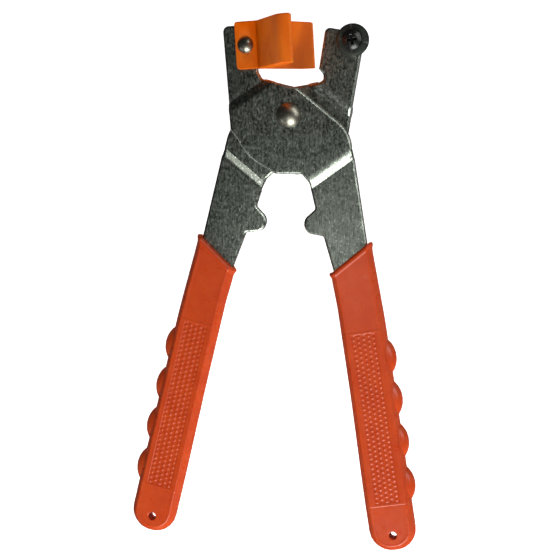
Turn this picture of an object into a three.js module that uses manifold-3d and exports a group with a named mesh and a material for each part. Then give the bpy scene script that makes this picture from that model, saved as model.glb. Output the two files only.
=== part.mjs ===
import * as THREE from 'three';
import { mergeVertices } from 'three/addons/utils/BufferGeometryUtils.js';
import Module from 'manifold-3d';

const wasm = await Module();
wasm.setup();

// Running pliers, open at rest. Millimetres. The pivot axis is Z, the jaws
// point to +Y and the handles to -Y. Both jaws and both handles lie in one
// middle plane; only the pivot plates are stacked, one lever over the other.

// ---- driving dimensions ----
const PLATE_T = 2.8;
const PLATE_GAP = 0.1;
const STEP = (PLATE_T + PLATE_GAP) / 2;
const HUB_TOP = PLATE_T + PLATE_GAP / 2;
const HUB_R = 21.5;
const FACE_Z = PLATE_T / 2;

const RIVET = { shankR: 3.2, headR: 4.8, headH: 2.3, tailR: 4.7, tailH: 2.0 };
const PIVOT_HOLE_R = 3.25;
const PIVOT_WASHER = { outerR: 6.2, t: 1.0 };

const HANDLE_ANGLE = THREE.MathUtils.degToRad(11.2);
const STEEL_MOUTH = 7.6;
const STEEL_IN = 8.4;
const STEEL_OUT = 21.5;
const STEEL_END = 154;

const BREAKER = { angle: 5.9, top: 35.5, length: 17.6, tabT: 2.1, holeU: -14.6, holeV: 26.7 };
const BREAKER_RIVET = { shankR: 2.0, headR: 3.1, headH: 1.6, tailR: 2.9, tailH: 1.2 };
const TAB_FACE = FACE_Z + BREAKER.tabT;
const SMALL_HOLE_R = 2.05;

const AXLE = { x: 22.6, y: 28.3 };
const WHEEL = { r: 6.1, t: 2.0, bore: 3.05, edge: 0.75 };
const WASHER_T = 0.8;
const SCREW = { shankR: 2.0, headR: 3.75, headH: 2.5, length: 11.9 };
const NUT = { acrossFlats: 7.0, h: 3.2 };

const GRIP = { half: 4.5, round: 3.1, end: 166.9, gap: 0.05 };
const KNUCKLES = [94.0, 109.8, 125.8, 142.1];
const HANG_HOLE = { x: 15.3, y: -160.6, r: 1.45 };

const TAIL_Z = -(HUB_TOP + PIVOT_WASHER.t + RIVET.tailH);

// ---- helpers ----

// A closed outline from [x, y, filletRadius] corners.
function outline(corners) {
  const shape = new THREE.Shape();
  const n = corners.length;
  for (let i = 0; i < n; i++) {
    const [bx, by, r = 0] = corners[i];
    const b = new THREE.Vector2(bx, by);
    const a = new THREE.Vector2(...corners[(i + n - 1) % n].slice(0, 2)).sub(b).normalize();
    const c = new THREE.Vector2(...corners[(i + 1) % n].slice(0, 2)).sub(b).normalize();
    const line = i === 0 ? 'moveTo' : 'lineTo';
    if (r === 0) {
      shape[line](bx, by);
      continue;
    }
    const half = Math.acos(THREE.MathUtils.clamp(a.dot(c), -1, 1)) / 2;
    const reach = r / Math.tan(half);
    const start = b.clone().addScaledVector(a, reach);
    const end = b.clone().addScaledVector(c, reach);
    const centre = a.clone().add(c).normalize().multiplyScalar(r / Math.sin(half)).add(b);
    const from = Math.atan2(start.y - centre.y, start.x - centre.x);
    const to = Math.atan2(end.y - centre.y, end.x - centre.x);
    shape[line](start.x, start.y);
    shape.absarc(centre.x, centre.y, r, from, to, a.cross(c) > 0);
  }
  return shape;
}

function arcCorners(cx, cy, r, fromDeg, toDeg, steps) {
  const corners = [];
  for (let i = 0; i <= steps; i++) {
    const angle = THREE.MathUtils.degToRad(fromDeg + ((toDeg - fromDeg) * i) / steps);
    corners.push([cx + r * Math.cos(angle), cy + r * Math.sin(angle)]);
  }
  return corners;
}

function prism(shape, z0, z1, curveSegments = 6) {
  const options = { depth: z1 - z0, bevelEnabled: false, curveSegments };
  return new THREE.ExtrudeGeometry(shape, options).translate(0, 0, z0);
}

function cylinderZ(r, z0, z1, x = 0, y = 0, segments = 48) {
  const geometry = new THREE.CylinderGeometry(r, r, z1 - z0, segments);
  return geometry.rotateX(Math.PI / 2).translate(x, y, (z0 + z1) / 2);
}

// A solid of revolution about Z; the profile is [radius, z] from axis to axis
// or a closed loop, running upward on its outer side.
function turned(profile, segments = 48) {
  const points = profile.map(([r, z]) => new THREE.Vector2(r, z));
  return new THREE.LatheGeometry(points, segments).rotateX(Math.PI / 2);
}

function ring(innerR, outerR, z0, z1, segments = 48) {
  return turned([[innerR, z0], [outerR, z0], [outerR, z1], [innerR, z1], [innerR, z0]], segments);
}

function domePoints(r, h, z) {
  const sphereR = (r * r + h * h) / (2 * h);
  const full = Math.asin(r / sphereR);
  const points = [];
  for (let i = 0; i <= 7; i++) {
    const angle = full * (1 - i / 7);
    points.push([i === 7 ? 0 : sphereR * Math.sin(angle), z + h - sphereR * (1 - Math.cos(angle))]);
  }
  return points;
}

function toManifold(geometry) {
  const bare = geometry.clone();
  bare.deleteAttribute('normal');
  bare.deleteAttribute('uv');
  const merged = mergeVertices(bare, 1e-4);
  const vertProperties = new Float32Array(merged.attributes.position.array);
  const triVerts = new Uint32Array(merged.index.array);
  return new wasm.Manifold(new wasm.Mesh({ numProp: 3, vertProperties, triVerts }));
}

function toGeometry(manifold) {
  const { vertProperties, triVerts } = manifold.getMesh();
  const geometry = new THREE.BufferGeometry();
  geometry.setAttribute('position', new THREE.BufferAttribute(new Float32Array(vertProperties), 3));
  geometry.setIndex(new THREE.BufferAttribute(new Uint32Array(triVerts), 1));
  return geometry;
}

function mesh(name, geometry, color, roughness, metalness) {
  const indexed = geometry.index ? geometry : mergeVertices(geometry);
  const flat = indexed.toNonIndexed();
  flat.computeVertexNormals();
  const material = new THREE.MeshStandardMaterial({ color, roughness, metalness });
  material.name = name;
  const node = new THREE.Mesh(flat, material);
  node.name = name;
  return node;
}

// A point beside the handle: across it from the pivot axis, and along it.
function onHandle(across, along, r = 0) {
  const c = Math.cos(HANDLE_ANGLE);
  const s = Math.sin(HANDLE_ANGLE);
  return [across * c + along * s, across * s - along * c, r];
}

// ---- levers ----

// Both levers share this outline from the hub to the handle end. It is drawn
// with the jaw at -X and the handle at +X.
const HUB_AND_HANDLE = [
  [-21.8, -6.7, 0.8],
  ...arcCorners(0, 0, HUB_R, 208, 240, 5),
  [-4.0, -22.0, 2],
  [5.6, -21.6, 1.2],
  [8.3, -24.3, 2.5],
  [9.7, -28.8, 8],
  [11.2, -34.4, 1.2],
  ...arcCorners(11.2, -40.0, 4.05, 124, 250, 8),
  [14.7, -44.4, 1.2],
  onHandle(STEEL_MOUTH, 60),
  onHandle(STEEL_IN, 72),
  onHandle(STEEL_IN, STEEL_END, 5),
  onHandle(STEEL_OUT, STEEL_END, 5),
  onHandle(STEEL_OUT, 50, 20),
  [27.1, -26.0, 60],
  [24.6, -14.0, 8],
  [22.6, -4.8, 13],
];
const FRONT_JAW = [
  [2.2, 10.3, 1],
  [-11.2, 13.0, 1.6],
  [-12.75, 15.6, 1.2],
  [-14.55, 32.7, 0.8],
  [-26.7, 31.8, 2.2],
];
const REAR_JAW = [
  [2.0, 9.9, 1],
  [-10.8, 12.5, 0.8],
  [-12.1, 13.6, 0.8],
  [-11.9, 15.5, 0.8],
  [-10.2, 17.4, 0.6],
  [-12.0, 32.8, 2],
  [-26.6, 30.9, 2],
];
const FRONT_STEPS = { jaw: [126, 13.4, 2.8], arm: [-52.3, 23.9, 3.3] };
const REAR_STEPS = { jaw: [123.7, 13.2, 2.8], arm: [-52.3, 25.9, 2.6] };

// A plate that runs level from the hub and then steps down to the middle
// plane, at a line `start` away from the pivot in the direction `deg`.
function steppedSlab([deg, start, width], from, to) {
  const lag = PLATE_T * Math.tan(Math.atan2(STEP, width) / 2);
  const bottom = PLATE_GAP / 2;
  const section = outline([
    [from, bottom],
    [start - lag, bottom],
    [start - lag + width, -FACE_Z],
    [to, -FACE_Z],
    [to, FACE_Z],
    [start + width, FACE_Z],
    [start, HUB_TOP],
    [from, HUB_TOP],
  ]);
  const slab = prism(section, -90, 90).rotateX(Math.PI / 2);
  return toManifold(slab.rotateZ(THREE.MathUtils.degToRad(deg)));
}

function lever(jaw, steps, jawHole) {
  const cut = [...HUB_AND_HANDLE, ...jaw];
  const profile = toManifold(prism(outline(cut), -6, 6, 8));
  const jawSlab = steppedSlab(steps.jaw, -1, 60);
  const armSlab = steppedSlab(steps.arm, -5, 240);
  const plate = profile.intersect(jawSlab.add(armSlab));
  const holes = toManifold(cylinderZ(PIVOT_HOLE_R, -8, 8));
  const small = toManifold(cylinderZ(SMALL_HOLE_R, -8, 8, jawHole[0], jawHole[1], 32));
  return toGeometry(plate.subtract(holes).subtract(small));
}

const breakerAngle = THREE.MathUtils.degToRad(BREAKER.angle);
const breakerHole = new THREE.Vector2(BREAKER.holeU, BREAKER.holeV);
breakerHole.rotateAround(new THREE.Vector2(), breakerAngle);

const steel = [0x7d817a, 0.32, 0.9];
const frontLever = mesh(
  'front_lever', lever(FRONT_JAW, FRONT_STEPS, [breakerHole.x, breakerHole.y]), ...steel);
const rearLever = mesh('rear_lever', lever(REAR_JAW, REAR_STEPS, [-AXLE.x, AXLE.y]), ...steel);
rearLever.rotation.y = Math.PI;

// ---- pivot ----
const washerBottom = -(HUB_TOP + PIVOT_WASHER.t);
const pivotRivet = mesh('pivot_rivet', turned([
  [0, TAIL_Z],
  [RIVET.tailR - 0.6, TAIL_Z],
  [RIVET.tailR, TAIL_Z + 0.6],
  [RIVET.tailR, washerBottom],
  [RIVET.shankR, washerBottom],
  [RIVET.shankR, HUB_TOP],
  [RIVET.headR, HUB_TOP],
  ...domePoints(RIVET.headR, RIVET.headH, HUB_TOP),
]), 0xb9b5ab, 0.22, 1);
const pivotWasher = mesh(
  'pivot_washer', ring(PIVOT_HOLE_R, PIVOT_WASHER.outerR, washerBottom, -HUB_TOP), 0x9a9c98, 0.35, 0.9);

// ---- breaker jaw ----

// Half of the breaker's section, from the slot that the plate sits in, round
// the tab and the wing, to the root of the V: [across the jaw, height].
const SLOT = FACE_Z + 0.05;
const HALF_SECTION = [
  [-10.95, SLOT],
  [-18.5, SLOT],
  [-18.5, TAB_FACE],
  [-10.3, TAB_FACE],
  [1.9, 28],
  [6.4, 28],
  [6.4, 24],
  [-4.4, 2.4],
  [-5.0, 1.0],
];

function breaker() {
  const otherHalf = HALF_SECTION.map(([u, z]) => [u, -z]).reverse();
  const bar = prism(outline([...HALF_SECTION, ...otherHalf]), 0, BREAKER.length);
  const body = toManifold(bar.rotateX(Math.PI / 2).translate(0, BREAKER.top, 0));
  const hole = cylinderZ(SMALL_HOLE_R, -8, 8, BREAKER.holeU, BREAKER.holeV, 32);
  const bottom = BREAKER.top - BREAKER.length;
  const front = outline([
    [-18.5, bottom, 1.5],
    [9, bottom],
    [9, BREAKER.top],
    [-18.5, BREAKER.top, 0.9],
  ]);
  return toGeometry(body
    .intersect(toManifold(prism(front, -30, 30)))
    .subtract(toManifold(hole)));
}
const breakerJaw = mesh('breaker_jaw', breaker(), 0xd9711c, 0.5, 0);

const rivetTailTop = -(TAB_FACE + WASHER_T);
const breakerRivet = mesh('breaker_rivet', turned([
  [0, rivetTailTop - BREAKER_RIVET.tailH],
  [BREAKER_RIVET.tailR - 0.4, rivetTailTop - BREAKER_RIVET.tailH],
  [BREAKER_RIVET.tailR, rivetTailTop - BREAKER_RIVET.tailH + 0.4],
  [BREAKER_RIVET.tailR, rivetTailTop],
  [BREAKER_RIVET.shankR, rivetTailTop],
  [BREAKER_RIVET.shankR, TAB_FACE],
  [BREAKER_RIVET.headR, TAB_FACE],
  ...domePoints(BREAKER_RIVET.headR, BREAKER_RIVET.headH, TAB_FACE),
], 32), 0xb9b5ab, 0.22, 1);
const breakerWasher = mesh(
  'breaker_rivet_washer', ring(SMALL_HOLE_R, 3.9, rivetTailTop, -TAB_FACE, 32), 0x9a9c98, 0.35, 0.9);
for (const node of [breakerRivet, breakerWasher]) {
  node.position.set(BREAKER.holeU, BREAKER.holeV, 0);
}
const breakerGroup = new THREE.Group();
breakerGroup.add(breakerJaw, breakerRivet, breakerWasher);
breakerGroup.rotation.z = breakerAngle;

// ---- scoring wheel ----
const wheelBottom = FACE_Z + WASHER_T + 0.1;
const wheelTop = wheelBottom + WHEEL.t;
const headSeat = wheelTop + 0.1;
const scoringWheel = mesh('scoring_wheel', turned([
  [WHEEL.bore, wheelBottom],
  [WHEEL.r - WHEEL.edge, wheelBottom],
  [WHEEL.r, (wheelBottom + wheelTop) / 2],
  [WHEEL.r - WHEEL.edge, wheelTop],
  [WHEEL.bore, wheelTop],
  [WHEEL.bore, wheelBottom],
]), 0x3a3c38, 0.4, 0.7);
const wheelWasher = mesh(
  'wheel_washer', ring(SMALL_HOLE_R, 4.2, FACE_Z, FACE_Z + WASHER_T, 32), 0x8b8d88, 0.35, 0.9);
const wheelBush = mesh(
  'wheel_bush', ring(SMALL_HOLE_R, 2.95, FACE_Z + WASHER_T, headSeat, 32), 0x8b8d88, 0.35, 0.9);

function phillipsScrew() {
  const tip = headSeat - SCREW.length;
  const body = toManifold(turned([
    [0, tip],
    [SCREW.shankR - 0.5, tip],
    [SCREW.shankR, tip + 0.5],
    [SCREW.shankR, headSeat],
    [SCREW.headR, headSeat],
    [SCREW.headR, headSeat + SCREW.headH - 1.3],
    ...domePoints(SCREW.headR - 0.2, 1.25, headSeat + SCREW.headH - 1.25),
  ], 32));
  const top = headSeat + SCREW.headH;
  const bar = (w, h) => toManifold(new THREE.BoxGeometry(w, h, 3.4).translate(0, 0, top));
  return toGeometry(body.subtract(bar(3.9, 0.9)).subtract(bar(0.9, 3.9)));
}
const wheelScrew = mesh('wheel_screw', phillipsScrew(), 0x2b2d2a, 0.35, 0.8);

const lockWasherBottom = -(FACE_Z + WASHER_T);
const lockWasher = mesh(
  'wheel_lock_washer', ring(SMALL_HOLE_R, 3.6, lockWasherBottom, -FACE_Z, 32), 0x8b8d88, 0.35, 0.9);

function hexNut() {
  const cornerR = NUT.acrossFlats / Math.sqrt(3);
  const hex = toManifold(prism(outline(arcCorners(0, 0, cornerR, 0, 300, 5)), -NUT.h, 0));
  const bevel = toManifold(turned([
    [0, -NUT.h],
    [NUT.acrossFlats / 2, -NUT.h],
    [cornerR + 0.1, -NUT.h + 0.5],
    [cornerR + 0.1, -0.5],
    [NUT.acrossFlats / 2, 0],
    [0, 0],
  ]));
  return toGeometry(hex.intersect(bevel).subtract(toManifold(cylinderZ(SMALL_HOLE_R, -9, 9, 0, 0, 32))));
}
const wheelNut = mesh('wheel_nut', hexNut(), 0x8b8d88, 0.35, 0.9);
wheelNut.position.z = lockWasherBottom;

const wheelGroup = new THREE.Group();
wheelGroup.add(scoringWheel, wheelWasher, wheelBush, wheelScrew, lockWasher, wheelNut);
wheelGroup.position.set(AXLE.x, AXLE.y, 0);

// ---- grips ----

// Drawn along the handle: x is across it, away from the other handle, and -y
// is the distance from the pivot. The mouth end is cut off on a slant.
const GRIP_OUTLINE = [
  [23.2, -40],
  [5.4, -40],
  [5.8, -61.7],
  [6.8, -70],
  [6.8, -GRIP.end, 8.3],
  [24.0, -GRIP.end, 8.3],
  [24.1, -80],
  [23.4, -51.1],
];
const MOUTH_CUT = [[40, -41.1], [40, -30], [-5, -30], [-5, -68.2]];
const END_TAPER = [[-148, GRIP.half], [-170, 2.7], [-170, 9], [-148, 9]];

function grip() {
  const options = {
    depth: 2 * (GRIP.half - GRIP.round),
    bevelThickness: GRIP.round,
    bevelSize: GRIP.round,
    bevelOffset: -GRIP.round,
    bevelSegments: 3,
    curveSegments: 8,
  };
  const block = new THREE.ExtrudeGeometry(outline(GRIP_OUTLINE), options);
  let body = toManifold(block.translate(0, 0, GRIP.round - GRIP.half));
  for (const along of KNUCKLES) {
    const knuckle = new THREE.SphereGeometry(1, 24, 12).scale(9.0, 9.0, 3.4);
    body = body.add(toManifold(knuckle.translate(17.3, -along, 0)));
  }
  for (const side of [0, Math.PI]) {
    const wedge = prism(outline(END_TAPER), -40, 40).rotateX(Math.PI / 2).rotateZ(Math.PI / 2);
    body = body.subtract(toManifold(wedge.rotateY(side)));
  }
  const left = STEEL_IN - GRIP.gap;
  const mouth = STEEL_MOUTH - GRIP.gap;
  const right = STEEL_OUT + GRIP.gap;
  const end = -STEEL_END - GRIP.gap;
  const cavity = outline([
    [mouth, -30],
    [mouth, -60],
    [left, -72],
    [left, end, 5],
    [right, end, 5],
    [right, -30],
  ]);
  const cavityZ = FACE_Z + GRIP.gap;
  return toGeometry(body
    .subtract(toManifold(prism(outline(MOUTH_CUT), -9, 9)))
    .subtract(toManifold(prism(cavity, -cavityZ, cavityZ, 8)))
    .subtract(toManifold(cylinderZ(HANG_HOLE.r, -9, 9, HANG_HOLE.x, HANG_HOLE.y, 24))));
}

function placedGrip(name) {
  const node = mesh(name, grip(), 0xc4452a, 0.35, 0);
  node.rotation.z = HANDLE_ANGLE;
  return node;
}
const leftSide = new THREE.Group();
leftSide.add(placedGrip('left_grip'));
leftSide.rotation.y = Math.PI;

// ---- assembly: the flat tail of the pivot rivet lies on Z = 0 ----
const pliers = new THREE.Group();
pliers.name = 'running_pliers';
pliers.add(frontLever, rearLever, pivotRivet, pivotWasher, breakerGroup, wheelGroup);
pliers.add(placedGrip('right_grip'), leftSide);
pliers.position.z = -TAIL_Z;

const root = new THREE.Group();
root.add(pliers);
export default root;
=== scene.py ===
import math
import bmesh
import bpy
from mathutils import Matrix, Vector


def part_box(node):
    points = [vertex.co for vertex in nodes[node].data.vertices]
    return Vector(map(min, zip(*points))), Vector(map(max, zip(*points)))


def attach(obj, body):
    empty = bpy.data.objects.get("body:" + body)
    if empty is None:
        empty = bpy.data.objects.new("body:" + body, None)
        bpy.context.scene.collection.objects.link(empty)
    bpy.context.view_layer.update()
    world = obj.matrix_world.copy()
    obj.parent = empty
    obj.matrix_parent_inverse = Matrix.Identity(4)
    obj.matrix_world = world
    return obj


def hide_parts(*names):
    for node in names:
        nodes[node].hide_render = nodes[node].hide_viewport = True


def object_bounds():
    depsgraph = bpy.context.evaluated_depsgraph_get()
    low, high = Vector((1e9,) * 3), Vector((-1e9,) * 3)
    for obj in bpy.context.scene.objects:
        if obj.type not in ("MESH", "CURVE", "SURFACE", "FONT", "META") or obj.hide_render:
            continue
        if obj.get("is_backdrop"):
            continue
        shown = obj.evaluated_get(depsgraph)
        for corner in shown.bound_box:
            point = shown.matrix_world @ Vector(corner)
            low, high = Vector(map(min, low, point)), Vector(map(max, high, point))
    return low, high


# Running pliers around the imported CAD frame. Shapes are worked out in
# millimetres and written in metres. The tool lies face up: +Z is the face,
# +Y is the jaw end.
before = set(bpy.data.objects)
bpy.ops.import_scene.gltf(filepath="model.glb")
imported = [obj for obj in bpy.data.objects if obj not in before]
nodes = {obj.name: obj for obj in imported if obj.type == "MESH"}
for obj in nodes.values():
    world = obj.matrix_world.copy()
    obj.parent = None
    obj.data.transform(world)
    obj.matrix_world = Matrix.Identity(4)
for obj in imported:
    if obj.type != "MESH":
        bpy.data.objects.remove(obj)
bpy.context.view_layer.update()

MM = 0.001
breaker_low, breaker_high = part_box("breaker_jaw")
MID_Z = (breaker_low[2] + breaker_high[2]) / 2
TO_BACK = Matrix.Rotation(math.pi, 4, "Y")
AT_MID = Matrix.Translation((0, 0, MID_Z))


# ---------------------------------------------------------------- helpers

def new_object(name, mesh, material):
    mesh.materials.clear()
    mesh.materials.append(material)
    piece = bpy.data.objects.new(name, mesh)
    bpy.context.scene.collection.objects.link(piece)
    return piece


def from_bmesh(name, bm, material, sharp_deg=32):
    """A smooth-shaded object whose edges past sharp_deg stay sharp."""
    bmesh.ops.recalc_face_normals(bm, faces=bm.faces)
    mesh = bpy.data.meshes.new(name)
    bm.to_mesh(mesh)
    bm.free()
    mesh.shade_smooth()
    mesh.set_sharp_from_angle(angle=math.radians(sharp_deg))
    return new_object(name, mesh, material)


def weigh_normals(piece):
    """Keeps big flat faces flat beside their rounded edges."""
    weighted = piece.modifiers.new("weighted", "WEIGHTED_NORMAL")
    weighted.keep_sharp = True
    weighted.weight = 80


def carve(piece, cutters):
    """Cuts the cutters out of piece and removes them."""
    for cutter in cutters:
        cut = piece.modifiers.new("cut", "BOOLEAN")
        cut.object, cut.operation, cut.solver = cutter, "DIFFERENCE", "EXACT"
    graph = bpy.context.evaluated_depsgraph_get()
    solid = bpy.data.meshes.new_from_object(piece.evaluated_get(graph))
    bm = bmesh.new()
    bm.from_mesh(solid)
    bmesh.ops.dissolve_degenerate(bm, dist=2e-6, edges=bm.edges)
    bm.to_mesh(solid)
    bm.free()
    piece.modifiers.clear()
    piece.data = solid
    for cutter in cutters:
        bpy.data.objects.remove(cutter)


def stand_in(piece, node, body):
    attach(piece, body)
    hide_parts(node)


def smoothstep(x):
    x = min(max(x, 0.0), 1.0)
    return x * x * (3 - 2 * x)


# ------------------------------------------------------------ shader bits

class Shader:
    """A Principled material with short calls for procedural nodes."""

    def __init__(self, name, **values):
        self.material = bpy.data.materials.new(name)
        self.material.use_nodes = True
        self.tree = self.material.node_tree
        self.bsdf = self.tree.nodes["Principled BSDF"]
        for key, value in values.items():
            self.bsdf.inputs[key.replace("_", " ")].default_value = value
        self.coords = self.tree.nodes.new("ShaderNodeTexCoord").outputs["Object"]

    def link(self, source, socket):
        self.tree.links.new(source, socket)

    def feed(self, key, source):
        self.link(source, self.bsdf.inputs[key])

    def place(self, scale, turn_deg):
        mapping = self.tree.nodes.new("ShaderNodeMapping")
        mapping.inputs["Scale"].default_value = scale
        mapping.inputs["Rotation"].default_value = (0, 0, math.radians(turn_deg))
        self.link(self.coords, mapping.inputs["Vector"])
        return mapping.outputs["Vector"]

    def noise(self, size_mm, detail, rough=0.55, stretch=(1, 1, 1), turn_deg=0.0):
        """Noise with features about size_mm across, 0 to 1."""
        node = self.tree.nodes.new("ShaderNodeTexNoise")
        node.inputs["Scale"].default_value = 1 / (size_mm * MM)
        node.inputs["Detail"].default_value = detail
        node.inputs["Roughness"].default_value = rough
        self.link(self.place(stretch, turn_deg), node.inputs["Vector"])
        return node.outputs["Fac"]

    def ramp(self, source, low, high, to_low=0.0, to_high=1.0):
        """source from low to high, mapped to to_low to to_high."""
        node = self.tree.nodes.new("ShaderNodeMapRange")
        node.inputs["From Min"].default_value = low
        node.inputs["From Max"].default_value = high
        node.inputs["To Min"].default_value = to_low
        node.inputs["To Max"].default_value = to_high
        self.link(source, node.inputs["Value"])
        return node.outputs["Result"]

    def math(self, operation, a, b=None):
        node = self.tree.nodes.new("ShaderNodeMath")
        node.operation = operation
        for socket, value in zip(node.inputs, (a, b)):
            if isinstance(value, (int, float)):
                socket.default_value = value
            elif value is not None:
                self.link(value, socket)
        return node.outputs["Value"]

    def mix(self, factor, a, b):
        """Colour a where factor is 0, b where it is 1."""
        node = self.tree.nodes.new("ShaderNodeMix")
        node.data_type = "RGBA"
        for socket, value in zip((node.inputs[0], node.inputs[6], node.inputs[7]), (factor, a, b)):
            if isinstance(value, (tuple, int, float)):
                socket.default_value = (*value, 1) if isinstance(value, tuple) else value
            else:
                self.link(value, socket)
        return node.outputs[2]

    def edges(self, low, high):
        """1 on convex edges, from Cycles' pointiness."""
        node = self.tree.nodes.new("ShaderNodeNewGeometry")
        return self.ramp(node.outputs["Pointiness"], low, high)

    def wall(self, flat, steep):
        """0 on surfaces that face up or down, 1 on upright ones."""
        parts = self.tree.nodes.new("ShaderNodeSeparateXYZ")
        node = self.tree.nodes.new("ShaderNodeTexCoord")
        self.link(node.outputs["Normal"], parts.inputs["Vector"])
        return self.ramp(self.math("ABSOLUTE", parts.outputs["Z"]), flat, steep)

    def bump(self, height, depth_mm, strength, under=None):
        """Normal of a height 0 to 1, laid over the normal under."""
        node = self.tree.nodes.new("ShaderNodeBump")
        node.inputs["Strength"].default_value = strength
        node.inputs["Distance"].default_value = depth_mm * MM
        self.link(height, node.inputs["Height"])
        if under is not None:
            self.link(under, node.inputs["Normal"])
        return node.outputs["Normal"]


# -------------------------------------------------------------- materials

def zinc_plate():
    """Zinc-plated rolled sheet: cloudy spangle, speckle, fine rolling streaks
    and scuffs, with paler and rougher sheared walls."""
    s = Shader("zinc_plate_metal", Metallic=1.0, Roughness=0.36)
    cloud = s.ramp(s.noise(6.0, 3), 0.38, 0.66)
    speckle = s.ramp(s.noise(0.8, 3, 0.7, (1.0, 0.6, 1.0)), 0.42, 0.60)
    streak = s.ramp(s.noise(0.45, 2, 0.6, (1.0, 0.08, 1.0)), 0.42, 0.60)
    fleck = s.ramp(s.noise(0.7, 2, 0.6, (1.0, 0.6, 1.0), 20), 0.60, 0.68)
    color = s.mix(cloud, (0.094, 0.111, 0.090), (0.160, 0.184, 0.150))
    color = s.mix(s.math("MULTIPLY", speckle, 0.5), color, (0.46, 0.51, 0.44))
    color = s.mix(s.math("MULTIPLY", streak, 0.4), color, (0.46, 0.50, 0.43))
    color = s.mix(s.math("MULTIPLY", fleck, 0.6), color, (0.80, 0.86, 0.77))
    wall = s.wall(0.75, 0.4)
    grain = s.ramp(s.noise(0.35, 3, 0.6, (1.0, 1.0, 0.15)), 0.35, 0.65)
    sheared = s.mix(grain, (0.50, 0.51, 0.48), (0.80, 0.81, 0.77))
    s.feed("Base Color", s.mix(wall, color, sheared))
    rough = s.math("ADD", s.ramp(s.noise(3.2, 4, 0.6), 0.3, 0.7, 0.24, 0.36),
                   s.math("MULTIPLY", speckle, 0.10))
    s.feed("Roughness", s.math("ADD", rough, s.math("MULTIPLY", wall, 0.25)))
    pits = s.bump(s.noise(0.45, 4, 0.6, (1.0, 0.35, 1.0)), 0.014, 0.6)
    sheet = s.bump(s.noise(7.0, 2, 0.5), 0.12, 0.3, pits)
    scratch = s.noise(0.16, 1, 0.5, (1.0, 0.02, 1.0), 38)
    lines = s.bump(s.ramp(scratch, 0.70, 0.74), 0.006, 0.5, sheet)
    s.feed("Normal", lines)
    return s.material


def plated_hardware():
    """Washers, bush and nut: plainer and paler than the plated sheet."""
    s = Shader("zinc_washer_metal", Metallic=1.0, Roughness=0.34)
    tone = s.ramp(s.noise(1.4, 4), 0.3, 0.7)
    color = s.mix(tone, (0.36, 0.37, 0.35), (0.52, 0.53, 0.50))
    # painted highlight: convex edges are paled towards light grey
    s.feed("Base Color", s.mix(s.math("MULTIPLY", s.edges(0.51, 0.56), 0.5), color, (0.7, 0.7, 0.67)))
    s.feed("Roughness", s.ramp(s.noise(0.8, 3), 0.3, 0.7, 0.26, 0.42))
    s.feed("Normal", s.bump(s.noise(0.22, 3), 0.006, 0.5))
    return s.material


def bright_rivet():
    """Rivets: smooth warm grey steel."""
    s = Shader("bright_rivet_metal", Metallic=1.0, Roughness=0.38)
    tone = s.ramp(s.noise(2.2, 4), 0.3, 0.7)
    s.feed("Base Color", s.mix(tone, (0.25, 0.242, 0.195), (0.34, 0.327, 0.265)))
    s.feed("Roughness", s.ramp(s.noise(1.1, 4), 0.3, 0.75, 0.33, 0.42))
    s.feed("Normal", s.bump(s.noise(0.35, 3), 0.006, 0.4))
    return s.material


def wheel_steel():
    """Dark hardened steel, with a painted highlight paling its convex edges."""
    s = Shader("wheel_steel_metal", Metallic=0.85, Roughness=0.42)
    tone = s.ramp(s.noise(2.0, 4, 0.6), 0.35, 0.65)
    color = s.mix(tone, (0.050, 0.064, 0.052), (0.078, 0.088, 0.072))
    # painted highlight: convex edges are paled towards light grey
    s.feed("Base Color", s.mix(s.math("MULTIPLY", s.edges(0.52, 0.58), 0.5), color, (0.42, 0.42, 0.40)))
    s.feed("Roughness", s.ramp(s.noise(0.9, 3), 0.3, 0.7, 0.36, 0.52))
    s.feed("Normal", s.bump(s.noise(0.3, 4), 0.01, 0.5))
    return s.material


def black_screw():
    """Blackened steel, with a painted highlight paling its convex edges."""
    s = Shader("black_screw_metal", Metallic=0.7, Roughness=0.3)
    tone = s.ramp(s.noise(1.2, 3), 0.35, 0.7)
    color = s.mix(tone, (0.018, 0.019, 0.018), (0.04, 0.042, 0.04))
    # painted highlight: convex edges are paled towards grey
    s.feed("Base Color", s.mix(s.math("MULTIPLY", s.edges(0.53, 0.6), 0.5), color, (0.30, 0.30, 0.29)))
    s.feed("Roughness", s.ramp(s.noise(0.6, 3), 0.3, 0.7, 0.22, 0.36))
    s.feed("Normal", s.bump(s.noise(0.25, 3), 0.008, 0.5))
    return s.material


def orange_plastic():
    """Moulded nylon with flow clouds, a fine satin skin and a painted highlight paling its convex edges."""
    s = Shader("orange_plastic_moulded", Roughness=0.5, IOR=1.45, Subsurface_Weight=0.2,
               Subsurface_Scale=0.002, Specular_IOR_Level=0.05)
    s.bsdf.inputs["Subsurface Radius"].default_value = (1.0, 0.35, 0.08)
    flow = s.ramp(s.noise(6.0, 3, 0.5, (1.0, 0.4, 0.6)), 0.35, 0.65)
    color = s.mix(flow, (0.68, 0.100, 0.0), (0.83, 0.146, 0.0))
    # painted highlight: convex edges are paled towards light orange
    pale = s.math("MULTIPLY", s.edges(0.52, 0.6), 0.45)
    s.feed("Base Color", s.mix(pale, color, (0.80, 0.34, 0.09)))
    s.feed("Roughness", s.ramp(s.noise(1.5, 4), 0.3, 0.7, 0.42, 0.56))
    skin = s.bump(s.noise(0.25, 2), 0.01, 0.4)
    s.feed("Normal", s.bump(s.noise(3.0, 2), 0.08, 0.3, skin))
    return s.material


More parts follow.
